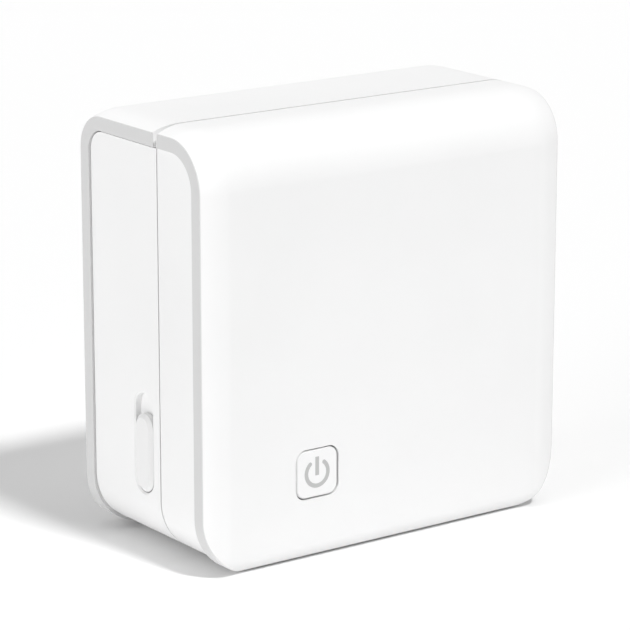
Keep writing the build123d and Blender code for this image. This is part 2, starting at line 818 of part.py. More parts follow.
# Main circuit board, with a tab that carries the charging socket
with BuildPart() as main_pcb:
    with BuildSketch(xz_plane(board_back_y)):
        with Locations((0, board_middle_z)):
            Rectangle(2 * board_half_width, board_top_z - board_low_z)
        with Locations((board_half_width, socket_z)):
            Rectangle(socket_end_x - socket_wall_back - board_half_width, socket_width + 2 * socket_margin,
                      align=(Align.MIN, Align.CENTER))
        with Locations(*board_screw_places):
            RegularPolygon(screw_radius + running_gap, round_sides, mode=Mode.SUBTRACT)
    extrude(amount=board_thickness)
main_pcb.part.label = "main_pcb"
export_step(main_pcb.part, "parts/main_pcb.step")

# Chips on the front of the board: controller, motor driver, radio module and an inductor
with BuildPart() as pcb_chips:
    with BuildSketch(xz_plane(board_front_y)):
        for x, rise, chip_width, chip_length in chips:
            with Locations((x, board_middle_z + rise)):
                Rectangle(chip_width, chip_length)
    extrude(amount=chip_height)
    with BuildSketch(xz_plane(board_front_y)):
        with Locations((coil_x, board_middle_z + coil_rise)):
            Circle(coil_radius)
    extrude(amount=coil_height)
pcb_chips.part.label = "pcb_chips"
export_step(pcb_chips.part, "parts/pcb_chips.step")

# Connector that clamps the print head's flat cable
with BuildPart() as ribbon_connector:
    with BuildSketch(xz_plane(board_front_y)):
        with Locations((ribbon_x, board_top_z)):
            Rectangle(ribbon_connector_width, ribbon_connector_height, align=(Align.CENTER, Align.MAX))
    extrude(amount=ribbon_connector_depth)
    with BuildSketch(Plane.XY.offset(board_top_z)):
        with Locations((ribbon_x, ribbon_y)):
            Rectangle(ribbon_width + 2 * running_gap, ribbon_thickness + 2 * running_gap)
    extrude(amount=-ribbon_connector_height / 2, mode=Mode.SUBTRACT)
ribbon_connector.part.label = "ribbon_connector"
export_step(ribbon_connector.part, "parts/ribbon_connector.step")

# Flat cable from the print head down to its connector
with BuildPart() as head_ribbon:
    with BuildSketch(yz_plane(ribbon_x - ribbon_width / 2)):
        with BuildLine():
            FilletPolyline(
                (ribbon_y, board_top_z - ribbon_connector_height / 2 + running_gap),
                (ribbon_y, motor_z),
                (sink_front_y - pivot_bead_radius, pivot_z - pivot_bead_radius - moving_gap),
                (sink_front_y + ribbon_thickness, pivot_z - pivot_bead_radius - moving_gap),
                radius=ribbon_bend,
            )
        trace(line_width=ribbon_thickness)
    extrude(amount=ribbon_width)
head_ribbon.part.label = "head_ribbon"
export_step(head_ribbon.part, "parts/head_ribbon.step")

# Charging socket: a rounded shell, open at the right, with its tongue
with BuildPart() as usb_socket:
    with BuildSketch(yz_plane(socket_end_x - socket_length)):
        with Locations((socket_y, socket_z)):
            SlotOverall(socket_width, socket_height, rotation=90)
    extrude(amount=socket_length)
    with BuildSketch(yz_plane(socket_end_x)):
        with Locations((socket_y, socket_z)):
            SlotOverall(socket_width - 2 * socket_wall, socket_height - 2 * socket_wall, rotation=90)
            Rectangle(socket_tongue, socket_width - 4 * socket_tongue, mode=Mode.SUBTRACT)
    extrude(amount=-socket_mouth_depth, mode=Mode.SUBTRACT)
usb_socket.part.label = "usb_socket"
export_step(usb_socket.part, "parts/usb_socket.step")

# Battery on the floor under the roll bay
with BuildPart() as battery_pack:
    with BuildSketch(Plane.XY.offset(floor_z)):
        with Locations((0, battery_y)):
            Rectangle(battery_length, battery_depth)
    extrude(amount=battery_thickness)
    fillet(battery_pack.edges().filter_by(Axis.X), battery_radius)
battery_pack.part.label = "battery_pack"
export_step(battery_pack.part, "parts/battery_pack.step")

# Battery connector on the back of the board, and the two wires down to the battery
with BuildPart() as battery_connector:
    with BuildSketch(xz_plane(board_back_y)):
        with Locations((lead_x, connector_low_z)):
            Rectangle(connector_width, connector_length, align=(Align.CENTER, Align.MIN))
    extrude(amount=-connector_height)
battery_connector.part.label = "battery_connector"
export_step(battery_connector.part, "parts/battery_connector.step")

with BuildPart() as battery_lead:
    lead_y = board_back_y + connector_height / 2
    lead_low_z = floor_z + battery_thickness / 2
    for x in (lead_x - lead_pitch / 2, lead_x + lead_pitch / 2):
        with BuildLine(yz_plane(x)) as lead_line:
            FilletPolyline(
                (lead_y, connector_low_z), (lead_y, lead_low_z),
                (battery_y - battery_depth / 2, lead_low_z), radius=lead_bend,
            )
        with BuildSketch(Plane(origin=(x, lead_y, connector_low_z), z_dir=(0, 0, -1))):
            RegularPolygon(lead_radius, lead_sides)
        sweep(path=lead_line.wires()[0])
battery_lead.part.label = "battery_lead"
export_step(battery_lead.part, "parts/battery_lead.step")

# Paper bay: a round trough between two cheeks, with a shelf on top for the printing mechanism
with BuildPart() as paper_bay:
    with BuildSketch(yz_plane(-cheek_inner_x)):
        with Locations((roll_y, roll_z)):
            Circle(bay_outer)
            Circle(bay_radius, mode=Mode.SUBTRACT)
            with BuildLine():
                Polyline((0, 0), (4 * bay_outer, -4 * bay_outer * math.tan(math.radians(bay_rear_angle))),
                         (4 * bay_outer, 4 * bay_outer), (-4 * bay_outer, 4 * bay_outer),
                         (-4 * bay_outer, 0), close=True)
            make_face(mode=Mode.SUBTRACT)
        with Locations((bay_front_y, roll_z)):
            Rectangle(bay_wall, shelf_z - roll_z, align=(Align.MIN, Align.MIN))
    extrude(amount=2 * cheek_inner_x)
    with BuildSketch(Plane.XY.offset(shelf_z)):
        with Locations((0, shelf_middle_y)):
            Rectangle(2 * (chassis_inner_x + chassis_wall), shelf_depth)
    extrude(amount=-bay_wall)
    with BuildSketch(Plane.XY.offset(shelf_z)):
        with Locations(*chassis_screw_places):
            RegularPolygon(post_radius, round_sides)
    extrude(amount=-chassis_boss)
    for side in (-1, 1):
        with BuildSketch(yz_plane(side * cheek_inner_x)):
            with BuildLine():
                FilletPolyline(
                    (bay_front_y, floor_z + running_gap), (cheek_rear_y, floor_z + running_gap),
                    (cheek_rear_y, cheek_step_z),
                    (cheek_back_y, cheek_step_z + cheek_back_y - cheek_rear_y + cheek_slope),
                    (cheek_back_y, cheek_shoulder_z), (roll_y, shelf_z), (bay_front_y, shelf_z),
                    radius=[0, 0, cheek_round, cheek_round, cheek_round, cheek_round, 0], close=True,
                )
            make_face()
        extrude(amount=side * cheek_wall)
    with BuildSketch(Plane.XY.offset(shelf_z)):
        with Locations(*chassis_screw_places):
            RegularPolygon(screw_radius + press_gap, round_sides)
    extrude(amount=-chassis_boss, mode=Mode.SUBTRACT)
    # Ledge on the left cheek that the latch spring pushes against
    with BuildSketch(Plane.XY.offset(shelf_z)):
        with Locations((-cheek_outer_x + fuse_overlap, 0)):
            Rectangle(cheek_ledge + fuse_overlap, link_width, align=(Align.MAX, Align.CENTER))
    extrude(amount=-bay_wall)
paper_bay.part.label = "paper_bay"
export_step(paper_bay.part, "parts/paper_bay.step")

# Print chassis: bent plate with two side plates, a spring wall and a screwed-down bar
with BuildPart() as print_chassis:
    for side in (-1, 1):
        with BuildSketch(yz_plane(side * chassis_inner_x)):
            with BuildLine():
                Polyline(
                    (chassis_front_y, shelf_z), (motor_y + motor_radius, shelf_z),
                    (motor_y + motor_radius + chassis_bar, shelf_z + chassis_slope),
                    (motor_y + motor_radius + chassis_bar, motor_z + bushing_radius),
                    (gusset_front_y, pivot_z), (chassis_rear_y, pivot_z + pivot_radius),
                    (chassis_rear_y, chassis_top_z), (chassis_front_y + chassis_slope, chassis_top_z),
                    (chassis_front_y, chassis_top_z - chassis_slope), close=True,
                )
            make_face()
            # Open notch for the platen's bushing, along the way that it leaves
            with Locations((platen_y, platen_z)):
                Circle(bushing_radius + notch_clearance, mode=Mode.SUBTRACT)
                with Locations(Rotation(0, 0, leave_angle)):
                    Rectangle(platen_drop, 2 * (bushing_radius + notch_clearance),
                              align=(Align.MIN, Align.CENTER), mode=Mode.SUBTRACT)
            with Locations((pivot_y, pivot_z)):
                Circle(pivot_radius + press_gap, mode=Mode.SUBTRACT)
        extrude(amount=side * chassis_wall)
    with BuildSketch(yz_plane(-chassis_inner_x)):
        with Locations((spring_plate_y, pivot_z - head_thickness)):
            Rectangle(chassis_wall, chassis_top_z - pivot_z + head_thickness, align=(Align.MAX, Align.MIN))
        with Locations((shelf_middle_y, shelf_z)):
            Rectangle(shelf_depth, chassis_bar, align=(Align.CENTER, Align.MIN))
    extrude(amount=2 * chassis_inner_x)
    with BuildSketch(Plane.XY.offset(shelf_z + chassis_bar)):
        with Locations(*chassis_screw_places):
            RegularPolygon(screw_radius + running_gap, round_sides)
    extrude(amount=-chassis_bar, mode=Mode.SUBTRACT)
    with BuildSketch(yz_plane(chassis_inner_x)):
        with Locations((idler_y, idler_z)):
            Circle(stud_radius + press_gap)
        with Locations((motor_y, motor_z)):
            Circle(motor_boss_radius + press_gap)
    extrude(amount=chassis_wall, mode=Mode.SUBTRACT)
print_chassis.part.label = "print_chassis"
export_step(print_chassis.part, "parts/print_chassis.step")

# Heat sink behind the print line, with the bead that it pivots on
with BuildPart() as heat_sink:
    with BuildSketch(yz_plane(-sink_half_width)):
        with Locations((sink_front_y, head_top_z)):
            Rectangle(sink_thickness, sink_height, align=(Align.MIN, Align.MAX))
        with Locations((pivot_y, pivot_z)):
            Circle(pivot_bead_radius)
    extrude(amount=2 * sink_half_width)
    with BuildSketch(Plane.XY.offset(head_top_z)):
        with GridLocations(fin_pitch, 1, sink_fins, 1):
            with Locations((0, sink_front_y)):
                Rectangle(fin_pitch / 2, sink_thickness / 2, align=(Align.CENTER, Align.MIN))
    extrude(amount=-fin_depth, mode=Mode.SUBTRACT)
    with BuildSketch(yz_plane(-sink_half_width)):
        with Locations((pivot_y, pivot_z)):
            Circle(pivot_radius + running_gap)
    extrude(amount=2 * sink_half_width, mode=Mode.SUBTRACT)
heat_sink.part.label = "heat_sink"
export_step(heat_sink.part, "parts/heat_sink.step")

# Thermal print head: a flat ceramic plate that faces the platen
with BuildPart() as thermal_head:
    with BuildSketch(yz_plane(-head_half_width)):
        with Locations((head_face_y, head_top_z)):
            Rectangle(head_thickness, head_height, align=(Align.MAX, Align.MAX))
    extrude(amount=2 * head_half_width)
thermal_head.part.label = "thermal_head"
export_step(thermal_head.part, "parts/thermal_head.step")

# Pins that carry the heat sink in the side plates
with BuildPart() as head_pivot_pins:
    for side in (-1, 1):
        add(side_cylinder(side * (sink_half_width - chassis_wall), side * (chassis_inner_x + chassis_wall),
                          pivot_y, pivot_z, pivot_radius))
head_pivot_pins.part.label = "head_pivot_pins"
export_step(head_pivot_pins.part, "parts/head_pivot_pins.step")

# Two leaf springs, bent from strip, that press the head towards the platen
with BuildPart() as head_springs:
    foot_y = spring_plate_y + spring_strip / 2
    with BuildSketch(yz_plane(spring_x - spring_width / 2)):
        with BuildLine():
            FilletPolyline(
                (foot_y, platen_z + spring_reach / 2 + spring_foot), (foot_y, platen_z + spring_reach / 2),
                (sink_front_y - moving_gap - spring_strip / 2, platen_z - spring_reach / 2),
                (foot_y + spring_strip, platen_z - spring_reach / 2 - spring_tail),
                radius=spring_bend,
            )
        trace(line_width=spring_strip)
    extrude(amount=spring_width)
    mirror(about=Plane.YZ)
head_springs.part.label = "head_springs"
export_step(head_springs.part, "parts/head_springs.step")

# Stepper motor inside the right side plate
with BuildPart() as stepper_motor:
    add(side_cylinder(chassis_inner_x - motor_flange - motor_length, chassis_inner_x - motor_flange,
                      motor_y, motor_z, motor_radius))
    with BuildSketch(yz_plane(chassis_inner_x)):
        with Locations((motor_y, motor_z)):
            SlotOverall(2 * motor_radius + motor_ears, 2 * motor_radius - motor_ears, rotation=90)
    extrude(amount=-motor_flange)
    with BuildSketch(yz_plane(chassis_inner_x)):
        with Locations((motor_y, motor_z)):
            Circle(motor_boss_radius)
    extrude(amount=chassis_wall)
    with BuildSketch(yz_plane(chassis_inner_x + chassis_wall)):
        with Locations((motor_y, motor_z)):
            Circle(motor_shaft_radius + running_gap)
    extrude(amount=-motor_bore, mode=Mode.SUBTRACT)
stepper_motor.part.label = "stepper_motor"
export_step(stepper_motor.part, "parts/stepper_motor.step")

# Motor pinion on the rotor's shaft
with BuildPart() as motor_pinion:
    add(gear_solid(motor_y, motor_z, pinion_teeth, motor_angle + 180 + 180 / pinion_teeth,
                   large_gear_x, large_gear_x + large_gear_width))
    add(side_cylinder(chassis_inner_x + chassis_wall - motor_bore + moving_gap,
                      large_gear_x + large_gear_width, motor_y, motor_z, motor_shaft_radius))
motor_pinion.part.label = "motor_pinion"
export_step(motor_pinion.part, "parts/motor_pinion.step")

# Idler: a small gear that drives the platen and a large one that the pinion drives
with BuildPart() as idler_gear:
    add(gear_solid(idler_y, idler_z, idler_small_teeth, leave_angle + 180 / idler_small_teeth,
                   gear_start_x, large_gear_x))
    add(gear_solid(idler_y, idler_z, idler_large_teeth, motor_angle, large_gear_x,
                   large_gear_x + large_gear_width))
    with BuildSketch(yz_plane(gear_start_x)):
        with Locations((idler_y, idler_z)):
            Circle(stud_radius + running_gap)
    extrude(amount=stud_end_x - gear_start_x, mode=Mode.SUBTRACT)
idler_gear.part.label = "idler_gear"
export_step(idler_gear.part, "parts/idler_gear.step")

# Stud that the idler turns on, with a shoulder at the plate and a cap at its end
with BuildPart() as idler_stud:
    add(side_cylinder(chassis_inner_x, stud_end_x, idler_y, idler_z, stud_radius))
    add(side_cylinder(chassis_inner_x + chassis_wall, gear_start_x - moving_gap, idler_y, idler_z,
                      stud_cap_radius))
    add(side_cylinder(stud_end_x, stud_end_x + stud_cap, idler_y, idler_z, stud_cap_radius))
idler_stud.part.label = "idler_stud"
export_step(idler_stud.part, "parts/idler_stud.step")

# Platen: steel shaft, rubber sleeve and its gear, carried by the cover
with BuildPart() as platen_shaft:
    add(side_cylinder(-(chassis_inner_x + chassis_wall + 2 * moving_gap), gear_start_x + gear_layer + running_gap,
                      platen_y, platen_z, shaft_radius))
platen_shaft.part.label = "platen_shaft"
export_step(platen_shaft.part, "parts/platen_shaft.step")

with BuildPart() as platen_rubber:
    with BuildSketch(yz_plane(-platen_half_length)):
        with Locations((platen_y, platen_z)):
            Circle(platen_radius)
            Circle(shaft_radius + press_gap, mode=Mode.SUBTRACT)
    extrude(amount=2 * platen_half_length)
platen_rubber.part.label = "platen_rubber"
export_step(platen_rubber.part, "parts/platen_rubber.step")

with BuildPart() as platen_gear:
    add(gear_solid(platen_y, platen_z, platen_teeth, leave_angle + 180, gear_start_x,
                   gear_start_x + gear_layer))
    with BuildSketch(yz_plane(gear_start_x)):
        with Locations((platen_y, platen_z)):
            Circle(shaft_radius + press_gap)
    extrude(amount=gear_layer, mode=Mode.SUBTRACT)
platen_gear.part.label = "platen_gear"
export_step(platen_gear.part, "parts/platen_gear.step")

with BuildPart() as platen_bushings:
    for side in (-1, 1):
        with BuildSketch(yz_plane(side * (bracket_inner_x - bushing_flange))):
            with Locations((platen_y, platen_z)):
                Circle(bushing_radius)
                Circle(shaft_radius + running_gap, mode=Mode.SUBTRACT)
        extrude(amount=side * (chassis_inner_x + chassis_wall + moving_gap - bracket_inner_x + bushing_flange))
platen_bushings.part.label = "platen_bushings"
export_step(platen_bushings.part, "parts/platen_bushings.step")

# Bracket under the cover's roof that holds the platen's bushings
with BuildPart() as platen_bracket:
    with BuildSketch(Plane.XY.offset(bracket_top_z)) as plate_view:
        with Locations((0, bracket_screw_y)):
            Rectangle(2 * plate_half_width, plate_back_y - plate_front_y)
        chamfer(plate_view.vertices(), plate_corner)
        with Locations(*bracket_screw_places):
            RegularPolygon(screw_radius + running_gap, round_sides, mode=Mode.SUBTRACT)
    extrude(amount=-bracket_plate)
    with BuildSketch(yz_plane(-bracket_inner_x)):
        with Locations((plate_front_y, bracket_web_z)):
            Rectangle(bracket_plate, bracket_top_z - bracket_web_z, align=(Align.MIN, Align.MIN))
    extrude(amount=2 * bracket_inner_x)
    for side in (-1, 1):
        with BuildSketch(yz_plane(side * bracket_inner_x)):
            with BuildLine():
                Polyline(
                    (gusset_front_y, bracket_top_z), (plate_back_y, bracket_top_z),
                    (plate_back_y, bracket_top_z - gusset_rear_height), (plate_front_y, bracket_web_z),
                    (gusset_front_y, platen_z + gusset_front_y), close=True,
                )
            make_face()
            with Locations((platen_y, platen_z)):
                Circle(gusset_round)
                Circle(bushing_radius + press_gap, mode=Mode.SUBTRACT)
        extrude(amount=side * bracket_wall)
platen_bracket.part.label = "platen_bracket"
export_step(platen_bracket.part, "parts/platen_bracket.step")

# Catch plate under the cover's roof
with BuildPart() as cover_catch:
    with BuildSketch(yz_plane(-catch_outer_x)):
        with BuildLine():
            Polyline(
                (catch_y - catch_plate_width / 2, cover_roof_z), (catch_y + catch_plate_width / 2, cover_roof_z),
                (catch_y + catch_plate_width / 2, catch_z), (catch_y, catch_z - catch_plate_width / 2),
                (catch_y - catch_plate_width / 2, catch_z), close=True,
            )
        make_face()
    extrude(amount=catch_plate)
cover_catch.part.label = "cover_catch"
export_step(cover_catch.part, "parts/cover_catch.step")

# Peg on the catch plate that the latch holds
with BuildPart() as catch_peg:
    add(side_cylinder(catch_plate - catch_outer_x, -link_inner_x, catch_y, catch_z, catch_radius))
catch_peg.part.label = "catch_peg"
export_step(catch_peg.part, "parts/catch_peg.step")

# Release slider: a thumb piece with sloping sides, and a stem through the panel
with BuildPart() as release_slider:
    slider_back_x = slider_pocket_x + slide_gap
    with BuildSketch(yz_plane(-slider_back_x)):
        with Locations((0, slider_z)):
            SlotOverall(slider_length, slider_width, rotation=90)
    extrude(amount=slider_back_x - slider_shoulder_x)
    with BuildSketch(yz_plane(-slider_shoulder_x)):
        with Locations((0, slider_z)):
            SlotOverall(slider_length, slider_width, rotation=90)
    extrude(amount=-slider_dome, taper=slider_slope)
    with BuildSketch(yz_plane(-slider_back_x)):
        with Locations((0, slider_z)):
            Rectangle(slider_stem_width, slider_stem_length)
    extrude(amount=slider_back_x - link_outer_x)
release_slider.part.label = "release_slider"
export_step(release_slider.part, "parts/release_slider.step")

# Latch link: a strip behind the panel, with a hooked arm over the catch peg
with BuildPart() as latch_link:
    with BuildSketch(yz_plane(-link_outer_x)):
        with BuildLine():
            hook_front_y = catch_y + catch_radius + moving_gap
            Polyline(
                (-link_width / 2, link_bottom_z), (link_width / 2, link_bottom_z),
                (link_width / 2, link_top_z - link_arm_height), (hook_front_y, link_top_z - link_arm_height),
                (hook_front_y, link_top_z - link_hook_height),
                (hook_front_y + link_hook_width, link_top_z - link_hook_height + link_hook_width / 2),
                (hook_front_y + link_hook_width, link_top_z), (-link_width / 2, link_top_z), close=True,
            )
        make_face()
    extrude(amount=link_thickness)
    # Foot that the latch spring pushes down on
    with BuildSketch(Plane.XY.offset(latch_foot_z)):
        with Locations((-link_inner_x - fuse_overlap, 0)):
            Rectangle(latch_foot + fuse_overlap, link_width, align=(Align.MIN, Align.CENTER))
    extrude(amount=-bay_wall)
latch_link.part.label = "latch_link"
export_step(latch_link.part, "parts/latch_link.step")

# Latch spring between the link's foot and the ledge above it
with BuildPart() as latch_spring:
    coil_height_z = latch_spring_length - 2 * latch_wire
    with BuildLine() as latch_coil:
        Helix(coil_height_z / latch_turns, coil_height_z, latch_spring_radius - latch_wire,
              center=(-latch_spring_x, 0, latch_foot_z + latch_wire))
    with BuildSketch(Plane(latch_coil.line @ 0, z_dir=latch_coil.line % 0)):
        RegularPolygon(latch_wire, 4)
    sweep(path=latch_coil.line)
latch_spring.part.label = "latch_spring"
export_step(latch_spring.part, "parts/latch_spring.step")

# Serrated tear bar under the roof's edge
with BuildPart() as tear_bar:
    with BuildSketch(Plane.XY.offset(roof_z)):
        with Locations((0, head_face_y)):
            Rectangle(roll_width, tear_bar_depth, align=(Align.CENTER, Align.MAX))
        with GridLocations(tear_pitch, 1, tear_teeth, 1):
            with BuildLine():
                Polyline((-tear_pitch / 2, head_face_y + press_gap), (0, head_face_y - tear_tooth_depth),
                         (tear_pitch / 2, head_face_y + press_gap), close=True)
            make_face(mode=Mode.SUBTRACT)
    extrude(amount=-tear_bar_thickness)
tear_bar.part.label = "tear_bar"
export_step(tear_bar.part, "parts/tear_bar.step")

# Paper sensor on the chassis bar
with BuildPart() as paper_sensor:
    with BuildSketch(Plane.XY.offset(shelf_z + chassis_bar)):
        with Locations((0, shelf_middle_y)):
            Rectangle(sensor_width, sensor_width)
    extrude(amount=sensor_height)
    chamfer(paper_sensor.edges().group_by(Axis.Z)[-1], sensor_chamfer)
paper_sensor.part.label = "paper_sensor"
export_step(paper_sensor.part, "parts/paper_sensor.step")

# Rubber feet, level with the case's rims
with BuildPart() as rubber_feet:
    with BuildSketch(Plane.XY):
        with Locations(*foot_places):
            RegularPolygon(foot_radius, round_sides)
    extrude(amount=bottom_inset)
rubber_feet.part.label = "rubber_feet"
export_step(rubber_feet.part, "parts/rubber_feet.step")

# Screws
with BuildPart() as case_screws:
    for x, z in case_screw_places:
        add(front_screw(x, z, frame_front_y + lug_thickness, case_screw_length))
case_screws.part.label = "case_screws"
export_step(case_screws.part, "parts/case_screws.step")

with BuildPart() as pcb_screws:
    for x, z in board_screw_places:
        add(front_screw(x, z, board_back_y, board_screw_length))
pcb_screws.part.label = "pcb_screws"
export_step(pcb_screws.part, "parts/pcb_screws.step")

with BuildPart() as chassis_screws:
    for x, y in chassis_screw_places:
        add(Pos(x, y, shelf_z + chassis_bar) * Rot(90, 0, 0) * front_screw(0, 0, 0, chassis_screw_length))
chassis_screws.part.label = "chassis_screws"
export_step(chassis_screws.part, "parts/chassis_screws.step")

with BuildPart() as bracket_screws:
    for x, y in bracket_screw_places:
        add(Pos(x, y, bracket_top_z - bracket_plate) * Rot(-90, 0, 0) * front_screw(0, 0, 0, bracket_screw_length))
bracket_screws.part.label = "bracket_screws"
export_step(bracket_screws.part, "parts/bracket_screws.step")
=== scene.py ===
import math

import bmesh
import bpy
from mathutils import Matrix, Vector


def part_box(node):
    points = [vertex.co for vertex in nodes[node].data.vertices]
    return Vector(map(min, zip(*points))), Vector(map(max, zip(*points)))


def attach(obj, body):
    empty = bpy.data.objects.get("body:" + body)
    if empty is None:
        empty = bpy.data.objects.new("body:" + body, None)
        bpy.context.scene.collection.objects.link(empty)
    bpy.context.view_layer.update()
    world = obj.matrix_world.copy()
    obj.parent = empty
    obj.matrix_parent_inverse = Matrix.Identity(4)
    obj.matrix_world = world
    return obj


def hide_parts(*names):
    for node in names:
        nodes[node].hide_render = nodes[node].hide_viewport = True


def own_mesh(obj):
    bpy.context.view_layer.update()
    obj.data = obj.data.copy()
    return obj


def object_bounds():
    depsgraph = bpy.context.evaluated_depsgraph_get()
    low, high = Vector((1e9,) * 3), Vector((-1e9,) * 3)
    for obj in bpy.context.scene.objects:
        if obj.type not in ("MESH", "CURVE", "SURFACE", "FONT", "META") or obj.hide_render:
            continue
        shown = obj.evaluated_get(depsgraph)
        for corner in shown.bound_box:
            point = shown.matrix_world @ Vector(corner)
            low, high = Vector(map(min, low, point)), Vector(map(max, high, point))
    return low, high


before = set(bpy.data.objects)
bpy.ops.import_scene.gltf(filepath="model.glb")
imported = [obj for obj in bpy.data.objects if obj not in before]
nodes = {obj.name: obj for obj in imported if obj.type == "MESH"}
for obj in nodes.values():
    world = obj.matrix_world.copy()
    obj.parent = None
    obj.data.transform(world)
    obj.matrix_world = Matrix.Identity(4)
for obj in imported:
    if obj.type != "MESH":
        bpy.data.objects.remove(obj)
cad_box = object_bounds()

MM = 0.001

# Rims: outer corner radius in the front view, and where their greyer edge starts and is full,
# measured in from the outline
CORNER = 11.6 * MM
BAND_START = 0.22 * MM
BAND_FULL = 0.08 * MM
SIDE_X = cad_box[1][0]

# Power sign, from the button's centre: ring, half its gap in degrees, bar, and its depths off and in the face
SIGN_INNER = 2.07 * MM
SIGN_OUTER = 2.87 * MM
SIGN_HALF_GAP = 40
BAR_HALF_WIDTH = 0.42 * MM
BAR_LOW = -0.45 * MM
BAR_HIGH = 3.15 * MM
SIGN_PROUD = 0.03 * MM
SIGN_SUNK = 0.1 * MM

# Latch spring: turns, wire radius, and its mesh's steps and sides
SPRING_TURNS = 4
WIRE = 0.25 * MM
STEPS_PER_TURN = 28
WIRE_SIDES = 8

# Floor's half width in metres, and the world's strength as light and as seen by the camera and in gloss
FLOOR_HALF = 4
WORLD_LIGHT = 0.25
WORLD_SEEN = 1.0

# Camera, fitted to the photograph: place and aim in metres, lens and sensor in millimetres
CAMERA_PLACE = (-0.34808, -0.47851, 0.19715)
CAMERA_AIM = (-0.002587, -0.0012, 0.040857)
LENS = 181.7
SENSOR_WIDTH = 36.0

# Materials


def lin(value):
    """Linear value of a tone from 0 to 255."""
    value = value / 255
    return value / 12.92 if value <= 0.04045 else ((value + 0.055) / 1.055) ** 2.4


def tone(r, g, b):
    return (lin(r), lin(g), lin(b), 1.0)


class Mat:
    """A node material with small helpers, so that each finish is a few lines."""

    def __init__(self, name, base, rough, metallic=0.0, spec=0.5, coat=0.0):
        self.mat = bpy.data.materials.new(name)
        self.mat.use_nodes = True
        self.mat.diffuse_color = base
        self.tree = self.mat.node_tree
        self.bsdf = self.tree.nodes["Principled BSDF"]
        self.base = base
        self.set("Base Color", base)
        self.set("Roughness", rough)
        self.set("Metallic", metallic)
        self.set("Specular IOR Level", spec)
        self.set("Coat Weight", coat)
        self.set("Coat Roughness", 0.1)
        self.coords = self.tree.nodes.new("ShaderNodeTexCoord").outputs["Object"]
        self.height = None

    def set(self, socket, value):
        self.bsdf.inputs[socket].default_value = value

    def node(self, kind, **inputs):
        n = self.tree.nodes.new(kind)
        for key, value in inputs.items():
            key = key.replace("_", " ")
            if hasattr(value, "links"):
                self.tree.links.new(value, n.inputs[key])
            else:
                n.inputs[key].default_value = value
        return n

    def link(self, a, b):
        self.tree.links.new(a, b)

    def stretched(self, scale):
        m = self.tree.nodes.new("ShaderNodeMapping")
        self.link(self.coords, m.inputs["Vector"])
        m.inputs["Scale"].default_value = scale
        return m.outputs["Vector"]

    def noise(self, scale, detail=3.0, rough=0.5, vector=None):
        n = self.node("ShaderNodeTexNoise", Scale=scale, Detail=detail, Roughness=rough)
        self.link(vector or self.coords, n.inputs["Vector"])
        return n.outputs["Fac"]

    def span(self, value, low, high, to_low, to_high):
        n = self.tree.nodes.new("ShaderNodeMapRange")
        self.link(value, n.inputs["Value"])
        for key, number in (("From Min", low), ("From Max", high), ("To Min", to_low), ("To Max", to_high)):
            n.inputs[key].default_value = number
        return n.outputs["Result"]

    def math(self, op, a, b=None):
        n = self.tree.nodes.new("ShaderNodeMath")
        n.operation = op
        for i, value in enumerate((a, b)):
            if value is None:
                continue
            if hasattr(value, "links"):
                self.link(value, n.inputs[i])
            else:
                n.inputs[i].default_value = value
        return n.outputs[0]

    def mix(self, fac, a, b):
        n = self.tree.nodes.new("ShaderNodeMix")
        n.data_type = "RGBA"
        self.link(fac, n.inputs[0])
        for i, value in ((6, a), (7, b)):
            if hasattr(value, "links"):
                self.link(value, n.inputs[i])
            else:
                n.inputs[i].default_value = value
        return n.outputs[2]

    def vary_colour(self, fac, other):
        self.base_out = self.mix(fac, self.base, other)
        self.link(self.base_out, self.bsdf.inputs["Base Color"])

    def vary_rough(self, fac, low, high):
        self.link(self.span(fac, 0.3, 0.7, low, high), self.bsdf.inputs["Roughness"])

    def bump(self, height, strength, distance):
        n = self.tree.nodes.new("ShaderNodeBump")
        n.inputs["Strength"].default_value = strength
        n.inputs["Distance"].default_value = distance
        self.link(height, n.inputs["Height"])
        if self.height is not None:
            self.link(self.height, n.inputs["Normal"])
        self.height = n.outputs["Normal"]
        self.link(self.height, self.bsdf.inputs["Normal"])


def scaled(colour, k):
    return (colour[0] * k, colour[1] * k, colour[2] * k, 1.0)


def moulded(name, base, rough, grain, grain_strength, spec=0.4, tint=0.97, rim=None):
    """Injection-moulded plastic: fine grain, slow unevenness, faint handling marks and rubbed edges."""
    m = Mat(name, base, rough, spec=spec)
    slow = m.noise(28.0, 3.0)
    fine = m.noise(grain, 2.0, 0.6)
    smears = m.noise(90.0, 5.0, 0.7, m.stretched((1.0, 1.0, 3.0)))
    pointed = m.tree.nodes.new("ShaderNodeNewGeometry").outputs["Pointiness"]
    rubbed = m.span(pointed, 0.52, 0.60, 0.0, 0.5)
    m.vary_colour(m.math("ADD", m.span(slow, 0.35, 0.65, 0.0, 0.7), rubbed), scaled(base, tint))
    m.vary_rough(m.math("ADD", m.math("MULTIPLY", smears, 0.6), m.math("MULTIPLY", fine, 0.4)),
                 rough * 0.86, rough * 1.18)
    m.bump(fine, grain_strength, 0.00004)
    m.bump(slow, 0.10, 0.00006)
    if rim is not None:
        # The outward edges of the rims are greyer than the faces, and it fades out under the bottom corners
        split = m.tree.nodes.new("ShaderNodeSeparateXYZ")
        m.link(m.coords, split.inputs[0])
        across = m.math("ABSOLUTE", split.outputs["X"])
        over = m.math("MAXIMUM", m.math("SUBTRACT", across, SIDE_X - CORNER), 0.0)
        under = m.math("MAXIMUM", m.math("SUBTRACT", CORNER, split.outputs["Z"]), 0.0)
        squares = m.math("ADD", m.math("MULTIPLY", over, over), m.math("MULTIPLY", under, under))
        edge = m.span(m.math("SQRT", squares), CORNER - BAND_START, CORNER - BAND_FULL, 0.0, 1.0)
        edge_band = m.math("MULTIPLY", edge, m.span(under, 0.5 * CORNER, 0.95 * CORNER, 1.0, 0.0))
        m.link(m.mix(edge_band, m.base_out, rim), m.bsdf.inputs["Base Color"])
    return m.mat


